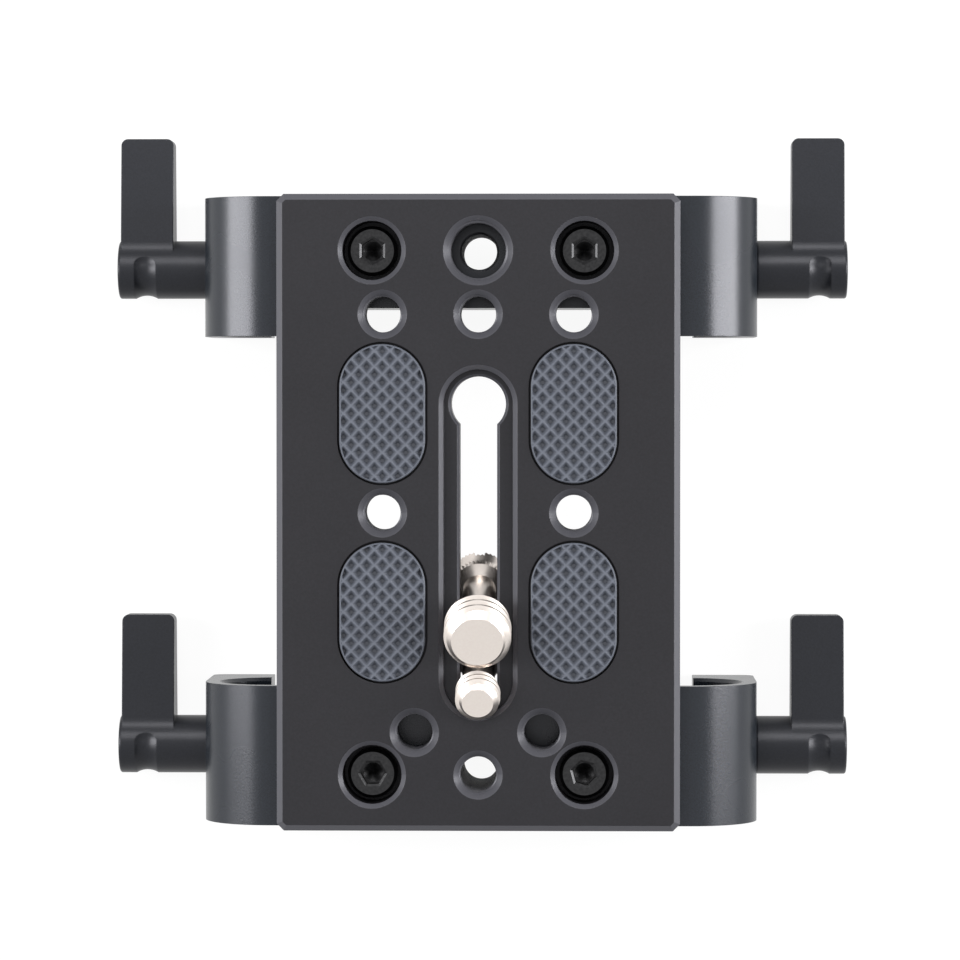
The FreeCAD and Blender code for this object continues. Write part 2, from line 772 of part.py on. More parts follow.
def make_lever(label):
    """Make a lever: hollow barrel with splines inside, tapered wing and a finger groove."""
    body = new_body(label)
    barrel = new_sketch(body, label + "_barrel", "YZ_Plane", "lever_start")
    circle(barrel, "0", "0", "lever_barrel_diameter")
    pad(body, barrel, "lever_end - lever_start")
    barrel_radius = value("barrel_radius")
    fillet(body, edges_of(body, lambda edge: is_round(edge, barrel_radius)), "lever_barrel_round")

    wing = new_sketch(body, label + "_wing", "XY_Plane")
    rectangle(wing, "wing_start + wing_width / 2", "wing_reach / 2", "wing_width", "wing_reach")
    pad(body, wing, "wing_root_thickness", symmetric=True)
    air = new_sketch(body, label + "_taper", "YZ_Plane")
    root_half = "wing_root_thickness / 2"
    root_place = "sqrt(pow(barrel_radius; 2) - pow(wing_root_thickness / 2; 2))"
    tip_half = "wing_tip_thickness / 2"
    for sign in ("", "-"):
        polygon(air, [
            (root_place, f"{sign}({root_half})"),
            ("wing_reach + cut_margin", f"{sign}({tip_half})"),
            ("wing_reach + cut_margin", f"{sign}({root_half} + cut_margin)"),
            (root_place, f"{sign}({root_half} + cut_margin)"),
        ])
    pocket(body, air, symmetric=True)
    tip = value("wing_reach")
    tip_thickness = value("wing_tip_thickness")
    root = value(root_place)

    def tip_corner(edge):
        box = edge.BoundBox
        return box.YMin > tip - NEAR and box.ZLength > tip_thickness / 2 and box.XLength < NEAR

    def wing_root(edge):
        box = edge.BoundBox
        return box.YLength < NEAR and abs(box.YMin - root) < NEAR and box.XLength > tip_thickness

    fillet(body, edges_of(body, tip_corner), "wing_corner_round")
    fillet(body, edges_of(body, wing_root), "wing_blend")

    bore = new_sketch(body, label + "_bore", "XY_Plane")
    polygon(bore, [
        ("lever_start - cut_margin", "0"),
        ("lever_start - cut_margin", "spline_bore / 2"),
        ("lever_web_start", "spline_bore / 2"),
        ("lever_web_start", "web_bore / 2"),
        ("lever_web_end", "web_bore / 2"),
        ("lever_web_end", "spring_bore / 2"),
        ("lever_end + cut_margin", "spring_bore / 2"),
        ("lever_end + cut_margin", "0"),
    ])
    groove(body, bore, (origin_part(body, "X_Axis"), [""]))
    tooth = new_sketch(body, label + "_tooth", "YZ_Plane", "2 * lever_start")
    half = "spline_tooth_width / 2"
    crest = "spline_diameter / 2 - spline_depth"
    polygon(tooth, [
        (f"-{half}", crest),
        (half, crest),
        (half, "spline_bore / 2 + spline_gap"),
        (f"-{half}", "spline_bore / 2 + spline_gap"),
    ])
    grown = pad(body, tooth, "spline_length - 2 * lever_start")
    repeat_round(body, [grown], "X_Axis", "spline_count")

    finger = new_sketch(body, label + "_finger_groove", "XY_Plane")
    circle(finger, "finger_groove_place", "-finger_path", "2 * finger_ball")
    groove(body, finger, (origin_part(body, "X_Axis"), [""]), "finger_groove_angle", midplane=True)
    for name, sign in (("upper", ""), ("lower", "-")):
        cut_ball(body, f"{label}_{name}_groove_end", "finger_ball", "finger_groove_place",
                 "-finger_path * cos(finger_groove_angle / 2)",
                 f"{sign} finger_path * sin(finger_groove_angle / 2)")
    return body


def make_spring(label):
    """Wind the spring that pushes a lever back on its splines."""
    body = new_body(label)
    wire = new_sketch(body, label + "_wire", "XY_Plane")
    start = "lever_web_end + spring_seat_gap + spring_wire / 2"
    circle(wire, start, "spring_middle_diameter / 2", "spring_wire")
    coil = body.newObject("PartDesign::AdditiveHelix", label + "_coil")
    coil.Profile = wire
    coil.ReferenceAxis = (origin_part(body, "X_Axis"), [""])
    coil.Mode = "height-turns-angle"
    coil.setExpression("Height", formula("spring_length - spring_wire"))
    coil.setExpression("Turns", formula("spring_turns"))
    doc.recompute()
    return body


def make_end_screw(label):
    """Turn the small screw that keeps a lever and its spring on the clamp screw."""
    body = new_body(label)
    profile = new_sketch(body, label + "_profile", "XY_Plane")
    head = "end_screw_head_diameter / 2"
    shank = "end_screw_shank_diameter / 2"
    polygon(profile, [
        ("spindle_end - end_screw_shank_length", "0"),
        ("spindle_end - end_screw_shank_length", shank),
        ("spindle_end", shank),
        ("spindle_end", head),
        ("spindle_end + end_screw_head_height - end_screw_head_chamfer", head),
        ("spindle_end + end_screw_head_height", f"{head} - end_screw_head_chamfer"),
        ("spindle_end + end_screw_head_height", "0"),
    ])
    revolve(body, profile, (origin_part(body, "X_Axis"), [""]))
    key = new_sketch(body, label + "_key", "YZ_Plane", "spindle_end + end_screw_head_height")
    hexagon(key, "0", "0", "end_screw_key_flats", 0)
    pocket(body, key, "end_screw_key_depth")
    return body


parts = [make_top_plate()]
parts.append(make_rod_block("front_rod_block", "-"))
parts.append(make_rod_block("rear_rod_block", "+"))
parts.append(make_plate_screws())
parts.append(make_camera_screw("large"))
parts.append(make_camera_screw("small"))
for row_name, row_sign in (("front", "-"), ("rear", "+")):
    for side_name, side_sign in (("left", "-"), ("right", "+")):
        corner = f"{row_name}_{side_name}"
        pad_x = f"{side_sign} pad_column"
        parts.append(make_pad(f"pad_{corner}", pad_x, f"{row_sign} pad_row"))
        for make, kind in (
            (make_clamp_screw, "clamp_screw"),
            (make_lever, "lever"),
            (make_spring, "lever_spring"),
            (make_end_screw, "lever_end_screw"),
        ):
            made = make(f"{kind}_{corner}")
            set_on_block(made, side_sign, row_sign)
            parts.append(made)
doc.recompute()

for item in doc.Objects:
    if "Invalid" in item.State or "Error" in item.State:
        raise ValueError(f"{item.Name} failed: {item.State}")
for body in parts:
    if body.Shape.isNull() or not body.Shape.isValid():
        raise ValueError(f"{body.Label} has no valid shape")
for body in parts:
    body.Shape.exportStep(f"parts/{body.Label}.step")
    print(body.Label, len(body.Shape.Solids), round(body.Shape.Volume, 2))
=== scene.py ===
import json
import math
import bpy
from mathutils import Matrix, Vector


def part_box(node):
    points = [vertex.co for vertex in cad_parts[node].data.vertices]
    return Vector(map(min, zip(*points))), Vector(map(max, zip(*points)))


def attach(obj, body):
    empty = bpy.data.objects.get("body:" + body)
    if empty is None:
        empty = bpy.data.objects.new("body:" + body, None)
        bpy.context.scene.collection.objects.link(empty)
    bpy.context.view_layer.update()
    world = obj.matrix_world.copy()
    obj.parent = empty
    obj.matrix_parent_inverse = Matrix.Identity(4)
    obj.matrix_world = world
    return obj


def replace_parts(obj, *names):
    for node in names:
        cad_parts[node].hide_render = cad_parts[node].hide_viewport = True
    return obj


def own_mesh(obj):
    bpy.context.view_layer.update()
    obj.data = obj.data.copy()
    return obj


# A camera baseplate: black anodised plate and rod blocks, rubber pads, two loose camera screws.
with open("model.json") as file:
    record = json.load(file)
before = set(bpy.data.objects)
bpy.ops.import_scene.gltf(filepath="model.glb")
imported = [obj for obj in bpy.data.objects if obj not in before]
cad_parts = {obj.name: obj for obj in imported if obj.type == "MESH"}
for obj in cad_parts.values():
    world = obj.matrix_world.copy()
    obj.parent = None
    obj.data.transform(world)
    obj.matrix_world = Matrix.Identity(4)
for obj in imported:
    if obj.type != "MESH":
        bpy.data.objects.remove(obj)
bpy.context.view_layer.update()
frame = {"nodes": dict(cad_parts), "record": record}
nodes = frame["nodes"]
mounts = {mount["name"]: mount for mount in frame["record"]["mounts"]}
MM = 0.001

# Levels of the plate, read from the frame
PLATE_LOW, PLATE_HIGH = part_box("top_plate")
PLATE_TOP = PLATE_HIGH.z
PLATE_UNDER = PLATE_LOW.z
PLATE_MIDDLE = (PLATE_LOW.y + PLATE_HIGH.y) / 2
CORNERS = ("front_left", "front_right", "rear_left", "rear_right")

# Thread forms: pitch of the quarter inch and three eighths inch camera threads
QUARTER_PITCH = 25.4 / 20 * MM
THREE_EIGHTHS_PITCH = 25.4 / 16 * MM
THREAD_SIDES = 64
# Depth and crest flat of a tapped thread and of a screw's worn thread, as shares of the pitch
TAPPED = (0.5413, 0.125)
WORN = (0.5, 0.18)
HOLE_OVERLAP = 0.05 * MM  # how far a hole's ridge reaches into its wall

# Camera screws, each in its own length along the screw, from the back of its thread
SCREW_FORMS = {
    "large": {"crest": 4.75, "tip": 3.65, "thread": 6.1, "neck": 2.35, "neck_length": 10.75,
              "pitch": THREE_EIGHTHS_PITCH},
    "small": {"crest": 3.175, "tip": 2.2, "thread": 4.5, "neck": 2.3, "neck_length": 10.0,
              "pitch": QUARTER_PITCH},
}
KNOB_RADIUS = 4.2 * MM
KNOB_HEIGHT = 3.4 * MM
KNOB_CHAMFER = 0.4 * MM
# The flare from the knob up to the neck: height above the knob, and share of the way out to its rim
FLARE = ((0.0, 1.0), (0.15, 0.74), (0.4, 0.4), (0.72, 0.0))
KNURL_DEPTH = 0.3 * MM
KNURL_SIDES = 84
KNURL_ROWS = 9
COIN_SLOT = (1.4 * MM, 1.1 * MM)

# Socket cap screws that hold the plate
CAP_COLUMN = 15 * MM
CAP_ROW = 37 * MM
CAP_SEAT = 1.8 * MM
CAP_HEAD = (3.5 * MM, 4 * MM)
CAP_CHAMFER = 0.45 * MM
CAP_SHANK = (2 * MM, 12 * MM)
CAP_POINT = 0.5 * MM
CAP_KEY = (3 * MM, 2.2 * MM)
CAP_DRILL_POINT = 0.85 * MM
CAP_KEY_ANGLES = {(-1, -1): 90, (1, -1): 75, (-1, 1): 0, (1, 1): 0}

# The diamond net of the pads
NET_PITCH = 2.2 * MM
NET_RIB = 0.15 * MM
NET_DEPTH = 0.55 * MM
NET_CORNER = 0.16 * MM
NET_RIM = 0.22 * MM
PAD_EDGE_ROUND = 0.15 * MM
PAD_SIDES = 72

# The camera, from the photograph's perspective: 610 mm above the plate, a little to the right
CAMERA_HEIGHT = 610 * MM
CAMERA_PLACE = (14.4 * MM, 18 * MM)
CAMERA_AIM = (0.28 * MM, 4.65 * MM)
CAMERA_FIELD = math.radians(12.65)

# Studio light: a tall soft box and a low one at each side, a little to the rear, one behind, a pale room
SIDE_BOXES = {"left_box": (-1, 56, 14.0, 0.8), "right_box": (1, 62, 15.5, 0.8),
              "left_low_box": (-1, 83, 1.5, 0.26), "right_low_box": (1, 86, 4.5, 0.2)}
SIDE_BOX_WIDTH = 0.3
SIDE_BOX_REAR = 0.1
REAR_BOX_PLACE = (0, 0.62, 0.8)
REAR_BOX_SIZE = (0.5, 0.4)
REAR_BOX_RADIANCE = 7.0
ROOM_LEVEL = 0.3


def linear(colour):
    """Turn an sRGB hex colour to the linear values that a shader takes."""
    channels = []
    for start in (1, 3, 5):
        level = int(colour[start:start + 2], 16) / 255
        channels.append(level / 12.92 if level <= 0.04045 else ((level + 0.055) / 1.055) ** 2.4)
    return (*channels, 1.0)


def add(tree, kind, values=None, links=None, **settings):
    """Add a shader node with its settings, its input values and its links."""
    node = tree.nodes.new(kind)
    for name, setting in settings.items():
        setattr(node, name, setting)
    for name, value in (values or {}).items():
        node.inputs[name].default_value = value
    for name, source in (links or {}).items():
        tree.links.new(source, node.inputs[name])
    return node


def new_material(name):
    """Start a material with nothing in it."""
    material = bpy.data.materials.new(name)
    material.use_nodes = True
    material.node_tree.nodes.clear()
    return material, material.node_tree


def dress(thing, material):
    """Give an object one material."""
    thing.data.materials.clear()
    thing.data.materials.append(material)


def anodised(name, dark, light, grit, gloss, edge_break, ior=1.46, cut=None):
    """Dyed black oxide on aluminium: a clear skin over blasted grain, with softly broken edges. Chamfers that
    are cut after the blasting have a gloss of their own, and a lighter tone: partly bare cut metal, partly painted
    sheen."""
    material, tree = new_material(name)
    place = add(tree, "ShaderNodeTexCoord")
    grain = add(tree, "ShaderNodeTexNoise", {"Scale": 1 / grit, "Detail": 3, "Roughness": 0.6},
                {"Vector": place.outputs["Object"]})
    drift = add(tree, "ShaderNodeTexNoise", {"Scale": 60, "Detail": 2}, {"Vector": place.outputs["Object"]})
    dye = add(tree, "ShaderNodeValToRGB", links={"Fac": grain.outputs["Fac"]})
    dye.color_ramp.elements[0].position = 0.3
    dye.color_ramp.elements[0].color = linear(dark)
    dye.color_ramp.elements[1].position = 0.72
    dye.color_ramp.elements[1].color = linear(light)
    edge = add(tree, "ShaderNodeBevel", {"Radius": edge_break}, samples=4)
    bump = add(tree, "ShaderNodeBump", {"Strength": 0.3, "Distance": 0.00003},
               {"Height": grain.outputs["Fac"], "Normal": edge.outputs["Normal"]})
    shine = add(tree, "ShaderNodeMapRange", {"To Min": gloss - 0.05, "To Max": gloss + 0.05},
                {"Value": drift.outputs["Fac"]})
    rough, colour = shine.outputs["Result"], dye.outputs["Color"]
    if cut:
        gloss_there, cut_tone_and_painted_sheen = cut
        facing = add(tree, "ShaderNodeSeparateXYZ", links={"Vector": place.outputs["Normal"]})
        slope = add(tree, "ShaderNodeMath", {1: 0.7, 2: 0.2}, {0: facing.outputs["Z"]}, operation="COMPARE")
        mixed = add(tree, "ShaderNodeMix", {"B": gloss_there}, {"Factor": slope.outputs[0], "A": rough})
        rough = mixed.outputs["Result"]
        # Painted sheen: the chamfers' lighter tone stands partly for bare cut metal and partly for the light they
        # catch
        lighter_cut_and_painted_sheen = add(tree, "ShaderNodeMixRGB", {"Color2": linear(cut_tone_and_painted_sheen)},
                    {"Fac": slope.outputs[0], "Color1": colour})
        colour = lighter_cut_and_painted_sheen.outputs["Color"]
    shader = add(tree, "ShaderNodeBsdfPrincipled", {"IOR": ior, "Specular Tint": (0.94, 0.94, 1, 1)},
                 {"Base Color": colour, "Normal": bump.outputs["Normal"], "Roughness": rough})
    add(tree, "ShaderNodeOutputMaterial", links={"Surface": shader.outputs["BSDF"]})
    return material


def moulded_rubber():
    """Moulded grey rubber: matt, with fine dusty specks, and painted shade that darkens it down into the pits of the
    net, lightest on its ribs.
    """
    material, tree = new_material("moulded_grey_rubber")
    place = add(tree, "ShaderNodeTexCoord")
    spot = add(tree, "ShaderNodeSeparateXYZ", links={"Vector": place.outputs["Object"]})
    rib_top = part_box("pad_front_left")[1].z
    # Painted shade: the tone darkens with depth down into the net's pits and is lightest on the rib tops
    height = add(tree, "ShaderNodeMapRange", {"From Min": rib_top - NET_DEPTH, "From Max": rib_top},
                 {"Value": spot.outputs["Z"]})
    tone = add(tree, "ShaderNodeValToRGB", links={"Fac": height.outputs["Result"]})
    tone.color_ramp.elements[0].position = 0.0
    tone.color_ramp.elements[0].color = linear("#2B2E36")
    tone.color_ramp.elements[1].position = 1.0
    tone.color_ramp.elements[1].color = linear("#51555F")
    dust = add(tree, "ShaderNodeTexNoise", {"Scale": 1500, "Detail": 3}, {"Vector": place.outputs["Object"]})
    speck = add(tree, "ShaderNodeMapRange", {"To Min": 0.82, "To Max": 1.18}, {"Value": dust.outputs["Fac"]})
    colour = add(tree, "ShaderNodeVectorMath", links={0: tone.outputs["Color"], 1: speck.outputs["Result"]},
                 operation="MULTIPLY")
    bump = add(tree, "ShaderNodeBump", {"Strength": 0.4, "Distance": 0.00004}, {"Height": dust.outputs["Fac"]})
    shader = add(tree, "ShaderNodeBsdfPrincipled", {"Roughness": 0.6, "IOR": 1.52},
                 {"Base Color": colour.outputs["Vector"], "Normal": bump.outputs["Normal"]})
    add(tree, "ShaderNodeOutputMaterial", links={"Surface": shader.outputs["BSDF"]})
    return material


def metal(name, low, high, gloss, grain_scale, spread=0.04):
    """A bare or plated metal with fine turning marks, from a dark and a light tone."""
    material, tree = new_material(name)
    place = add(tree, "ShaderNodeTexCoord")
    marks = add(tree, "ShaderNodeTexNoise", {"Scale": grain_scale, "Detail": 2},
                {"Vector": place.outputs["Object"]})
    tone = add(tree, "ShaderNodeValToRGB", links={"Fac": marks.outputs["Fac"]})
    tone.color_ramp.elements[0].position = 0.3
    tone.color_ramp.elements[0].color = linear(low)
    tone.color_ramp.elements[1].position = 0.7
    tone.color_ramp.elements[1].color = linear(high)
    rough = add(tree, "ShaderNodeMapRange", {"To Min": gloss - spread, "To Max": gloss + spread},
                {"Value": marks.outputs["Fac"]})
    shader = add(tree, "ShaderNodeBsdfPrincipled", {"Metallic": 1.0},
                 {"Base Color": tone.outputs["Color"], "Roughness": rough.outputs["Result"]})
    add(tree, "ShaderNodeOutputMaterial", links={"Surface": shader.outputs["BSDF"]})
    return material


def seen_white(tree):
    """Tell the rays that see the studio as white: the camera's, and those that metal and glass send."""
    path = add(tree, "ShaderNodeLightPath")
    seen = add(tree, "ShaderNodeMath", links={0: path.outputs["Is Camera Ray"], 1: path.outputs["Is Glossy Ray"]},
               operation="MAXIMUM")
    through = add(tree, "ShaderNodeMath", links={0: seen.outputs[0], 1: path.outputs["Is Transmission Ray"]},
                  operation="MAXIMUM")
    return through.outputs[0]


def studio_white(name, shade):
    """A pale painted surface that is seen as white, with a soft shadow. Its underside is clear, so that the
    part can be looked at from below."""
    material, tree = new_material(name)
    share = add(tree, "ShaderNodeMath", {1: shade}, {0: seen_white(tree)}, operation="MULTIPLY")
    paint = add(tree, "ShaderNodeBsdfDiffuse", {"Color": (0.85, 0.85, 0.85, 1)})
    glow = add(tree, "ShaderNodeEmission", {"Color": (1, 1, 1, 1), "Strength": 1.05})
    mix = add(tree, "ShaderNodeMixShader",
              links={0: share.outputs[0], 1: paint.outputs["BSDF"], 2: glow.outputs["Emission"]})
    side = add(tree, "ShaderNodeNewGeometry")
    clear = add(tree, "ShaderNodeBsdfTransparent")
    sided = add(tree, "ShaderNodeMixShader",
                links={0: side.outputs["Backfacing"], 1: mix.outputs["Shader"], 2: clear.outputs["BSDF"]})
    add(tree, "ShaderNodeOutputMaterial", links={"Surface": sided.outputs["Shader"]})
    return material


def pick(thing):
    """Select one object alone and make it active."""
    bpy.ops.object.select_all(action="DESELECT")
    thing.select_set(True)
    bpy.context.view_layer.objects.active = thing


def settle(name):
    """Name the new primitive and move its place into its mesh."""
    thing = bpy.context.active_object
    thing.name = name
    bpy.ops.object.transform_apply(location=True, rotation=True, scale=True)
    return thing


def apply_modifier(thing, kind, **settings):
    """Add a modifier to an object and apply it."""
    pick(thing)
    modifier = thing.modifiers.new(kind.lower(), kind)
    for name, setting in settings.items():
        setattr(modifier, name, setting)
    bpy.ops.object.modifier_apply(modifier=modifier.name)
    return thing


def combine(thing, tool, operation):
    """Cut, keep or join one shape by another, and take the tool away."""
    apply_modifier(thing, "BOOLEAN", object=tool, operation=operation, solver="EXACT")
    bpy.data.objects.remove(tool)
    return thing


def tidy_normals(thing):
    """Merge doubled points and turn all faces outwards."""
    pick(thing)
    bpy.ops.object.mode_set(mode="EDIT")
    bpy.ops.mesh.select_all(action="SELECT")
    bpy.ops.mesh.remove_doubles(threshold=0.001 * MM)
    bpy.ops.mesh.normals_make_consistent(inside=False)
    bpy.ops.object.mode_set(mode="OBJECT")
    return thing


def turned(name, levels, sides=72):
    """Turn a solid about Z through its levels, each a height and a radius."""
    bpy.ops.object.select_all(action="DESELECT")
    height, radius = levels[0]
    bpy.ops.mesh.primitive_circle_add(vertices=sides, radius=radius, fill_type="NGON", location=(0, 0, height))
    thing = settle(name)
    bpy.ops.object.mode_set(mode="EDIT")
    bpy.ops.mesh.select_all(action="SELECT")
    for next_height, next_radius in levels[1:]:
        bpy.ops.mesh.extrude_region_move(TRANSFORM_OT_translate={"value": (0, 0, next_height - height)})
        share = next_radius / radius
        bpy.ops.transform.resize(value=(share, share, 1), center_override=(0, 0, next_height))
        height, radius = next_height, next_radius
    bpy.ops.object.mode_set(mode="OBJECT")
    return tidy_normals(thing)


def flat_cut(thing, height, keep_above):
    """Cut a shape off flat at a height and close it there."""
    pick(thing)
    bpy.ops.object.mode_set(mode="EDIT")
    bpy.ops.mesh.select_all(action="SELECT")
    bpy.ops.mesh.bisect(plane_co=(0, 0, height), plane_no=(0, 0, 1), use_fill=True,
                        clear_inner=keep_above, clear_outer=not keep_above, threshold=0.0001 * MM)
    bpy.ops.object.mode_set(mode="OBJECT")


def threaded_rod(name, root, form, pitch, low, high):
    """Wind a rod with a 60 degree thread on Z, flat at both ends."""
    depth, crest_flat = (share * pitch for share in form)
    flank = depth * math.tan(math.radians(30))
    root_half = (pitch - crest_flat) / 2 - flank
    start = low - pitch
    bpy.ops.object.select_all(action="DESELECT")
    bpy.ops.mesh.primitive_plane_add(size=MM, location=(root, 0, start))
    thing = settle(name)
    bpy.ops.object.mode_set(mode="EDIT")
    bpy.ops.mesh.select_mode(type="VERT")
    bpy.ops.mesh.select_all(action="SELECT")
    bpy.ops.mesh.merge(type="CENTER")
    for out, up in ((0, root_half), (depth, flank), (0, crest_flat), (-depth, flank), (0, root_half)):
        bpy.ops.mesh.extrude_vertices_move(TRANSFORM_OT_translate={"value": (out, 0, up)})
    bpy.ops.object.mode_set(mode="OBJECT")
    turns = math.ceil((high - start) / pitch) + 1
    apply_modifier(thing, "SCREW", axis="Z", angle=2 * math.pi, screw_offset=pitch, iterations=turns,
                   steps=THREAD_SIDES, render_steps=THREAD_SIDES)
    tidy_normals(thing)
    flat_cut(thing, low, True)
    flat_cut(thing, high, False)
    return tidy_normals(thing)


def finish_piece(thing, body, material, angle=35):
    """Shade a piece, dress it and let it ride on its body."""
    pick(thing)
    bpy.ops.object.shade_smooth_by_angle(angle=math.radians(angle))
    dress(thing, material)
    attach(thing, body)
    return thing


def copy_at(thing, name, matrix):
    """Copy a finished shape, with a mesh of its own, to a place."""
    copied = bpy.data.objects.new(name, thing.data.copy())
    bpy.context.scene.collection.objects.link(copied)
    copied.data.transform(matrix)
    return copied


def knurl(thing, low, high):
    """Press a diamond pattern into a knob's side by drawing in every other point of it."""
    row_height = (high - low) / (KNURL_ROWS - 1)
    pick(thing)
    bpy.ops.object.mode_set(mode="EDIT")
    bpy.ops.mesh.select_mode(type="VERT")
    bpy.ops.mesh.select_all(action="DESELECT")
    bpy.ops.object.mode_set(mode="OBJECT")
    for vertex in thing.data.vertices:
        at = vertex.co
        row = (at.z - low) / row_height
        if abs(math.hypot(at.x, at.y) - KNOB_RADIUS) > 0.01 * MM or not -0.1 < row < KNURL_ROWS - 0.9:
            continue
        side = round(math.atan2(at.y, at.x) / (2 * math.pi) * KNURL_SIDES)
        vertex.select = (side + round(row)) % 2 == 1
    bpy.ops.object.mode_set(mode="EDIT")
    share = 1 - KNURL_DEPTH / KNOB_RADIUS
    bpy.ops.transform.resize(value=(share, share, 1), center_override=(0, 0, 0))
    bpy.ops.object.mode_set(mode="OBJECT")


def make_shank(kind, neck, back):
    """Turn a camera screw's neck and knurled knob, with the coin slot in the knob's end."""
    bottom = back - KNOB_HEIGHT
    low, high = bottom + KNOB_CHAMFER, back - KNOB_CHAMFER
    levels = [(bottom, KNOB_RADIUS - KNOB_CHAMFER)]
    for row in range(KNURL_ROWS):
        levels.append((low + (high - low) * row / (KNURL_ROWS - 1), KNOB_RADIUS))
    rim = KNOB_RADIUS - KNOB_CHAMFER
    levels += [(back + height * MM, neck + share * (rim - neck)) for height, share in FLARE]
    levels.append((0.3 * MM, neck))
    shank = turned(f"{kind}_shank", levels, KNURL_SIDES)
    knurl(shank, low, high)
    width, depth = COIN_SLOT
    bpy.ops.object.select_all(action="DESELECT")
    bpy.ops.mesh.primitive_cube_add(size=1, location=(0, 0, bottom), scale=(width, 3 * KNOB_RADIUS, 2 * depth))
    return combine(shank, settle("coin_slot"), "DIFFERENCE")


def make_camera_screw(kind, material):
    """Cut a camera screw with its real thread, thin neck, knurled knob and coin slot."""
    form = SCREW_FORMS[kind]
    crest, tip, thread = form["crest"] * MM, form["tip"] * MM, form["thread"] * MM
    root = crest - WORN[0] * form["pitch"]
    spare = 0.5 * MM
    rod = threaded_rod(f"{kind}_camera_screw", root, WORN, form["pitch"], -spare, thread + spare)
    levels = [(0, root), (crest - root, crest), (thread - (crest - tip), crest), (thread, tip)]
    combine(rod, turned("envelope", levels), "INTERSECT")
    combine(rod, make_shank(kind, form["neck"] * MM, -form["neck_length"] * MM), "UNION")
    mount = mounts[f"camera_thread_{kind}"]
    axis = Vector(mount["axis"])
    lean = math.atan2(-axis.y, axis.z)
    rod.data.transform(Matrix.Translation(Vector(mount["pos_m"])) @ Matrix.Rotation(lean, 4, "X"))
    finish_piece(rod, f"{kind}_camera_screw", material, 30)
    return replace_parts(rod, f"camera_screw_{kind}")


def make_cap_screw(angle):
    """Turn one socket cap screw, with a chamfered hexagon socket that ends in a drill point."""
    radius, height = CAP_HEAD
    shank_radius, shank_length = CAP_SHANK
    flats, key_depth = CAP_KEY
    corner = flats / math.sqrt(3)
    screw = turned("cap_screw", [
        (-shank_length, shank_radius - CAP_POINT), (CAP_POINT - shank_length, shank_radius), (0, shank_radius),
        (0, radius), (height - CAP_CHAMFER, radius), (height, radius - CAP_CHAMFER)])
    bpy.ops.object.select_all(action="DESELECT")
    bpy.ops.mesh.primitive_cylinder_add(vertices=6, radius=corner, depth=2 * key_depth, location=(0, 0, height),
                                        rotation=(0, 0, math.radians(angle)))
    combine(screw, settle("key"), "DIFFERENCE")
    mouth = turned("key_mouth", [(height - 0.35 * MM, corner - 0.25 * MM), (height + 0.1 * MM, corner + 0.53 * MM)], 6)
    mouth.data.transform(Matrix.Rotation(math.radians(angle), 4, "Z"))
    combine(screw, mouth, "DIFFERENCE")
    floor = height - key_depth
    point = turned("drill_point", [(floor + 0.1 * MM, 0.46 * flats), (floor, 0.46 * flats),
                                   (floor - CAP_DRILL_POINT, 0.02 * MM)])
    return combine(screw, point, "DIFFERENCE")


def make_cap_screws(material):
    """Set the four socket cap screws in their counterbores."""
    screws = []
    for (side, row), angle in CAP_KEY_ANGLES.items():
        screw = make_cap_screw(angle)
        place = (side * CAP_COLUMN, PLATE_MIDDLE + row * CAP_ROW, PLATE_UNDER + CAP_SEAT)
        screw.data.transform(Matrix.Translation(place))
        screws.append(screw)
    bpy.ops.object.select_all(action="DESELECT")
    for screw in screws:
        screw.select_set(True)
    bpy.context.view_layer.objects.active = screws[0]
    bpy.ops.object.join()
    screws[0].name = "socket_cap_screws"
    finish_piece(screws[0], "baseplate", material, 30)
    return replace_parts(screws[0], "plate_screws")


def make_springs(material):
    """Copy each lever's spring into a mesh of its own, dress it and let it ride on its lever's handle."""
    for corner in CORNERS:
        node = f"lever_spring_{corner}"
        spring = tidy_normals(copy_at(nodes[node], f"coil_spring_{corner}", Matrix.Identity(4)))
        finish_piece(spring, f"handle_{corner}", material)
        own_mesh(spring)
        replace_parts(spring, node)


def obround(name, radius, straight, levels):
    """Make an upright solid with half round ends, from heights and how far each is drawn in."""
    thing = turned(name, [(height, radius - drawn_in) for height, drawn_in in levels], PAD_SIDES)
    thing.data.transform(Matrix.Rotation(math.pi / PAD_SIDES, 4, "Z"))
    for vertex in thing.data.vertices:
        vertex.co.y += math.copysign(straight, vertex.co.y)
    return thing


def net_pits(top):
    """Make the tool that presses a pad's pits: rows of blunt pyramids, point down."""
    mouth = NET_PITCH / 2 - NET_RIB / math.sqrt(2)
    floor = 0.36 * mouth
    spare = 0.05 * MM
    depth = NET_DEPTH + spare
    open_end = mouth + (mouth - floor) * spare / NET_DEPTH
    bpy.ops.object.select_all(action="DESELECT")
    bpy.ops.mesh.primitive_cone_add(vertices=4, radius1=floor, radius2=open_end, depth=depth,
                                    location=(-4 * NET_PITCH, -5 * NET_PITCH, top + spare - depth / 2))
    pits = settle("net_pits")
    pick(pits)
    bpy.ops.object.mode_set(mode="EDIT")
    bpy.ops.mesh.select_mode(type="EDGE")
    bpy.ops.mesh.select_all(action="DESELECT")
    bpy.ops.object.mode_set(mode="OBJECT")
    for edge in pits.data.edges:
        low, high = (pits.data.vertices[index].co.z for index in edge.vertices)
        edge.select = abs(low - high) > 0.5 * NET_DEPTH
    bpy.ops.object.mode_set(mode="EDIT")
    bpy.ops.mesh.bevel(offset=NET_CORNER, segments=2, affect="EDGES")
    bpy.ops.object.mode_set(mode="OBJECT")
    steps = ((9, (NET_PITCH, 0, 0)), (11, (0, NET_PITCH, 0)), (2, (NET_PITCH / 2, NET_PITCH / 2, 0)))
    for count, step in steps:
        apply_modifier(pits, "ARRAY", count=count, use_relative_offset=False, use_constant_offset=True,
                       constant_offset_displace=step)
    return pits


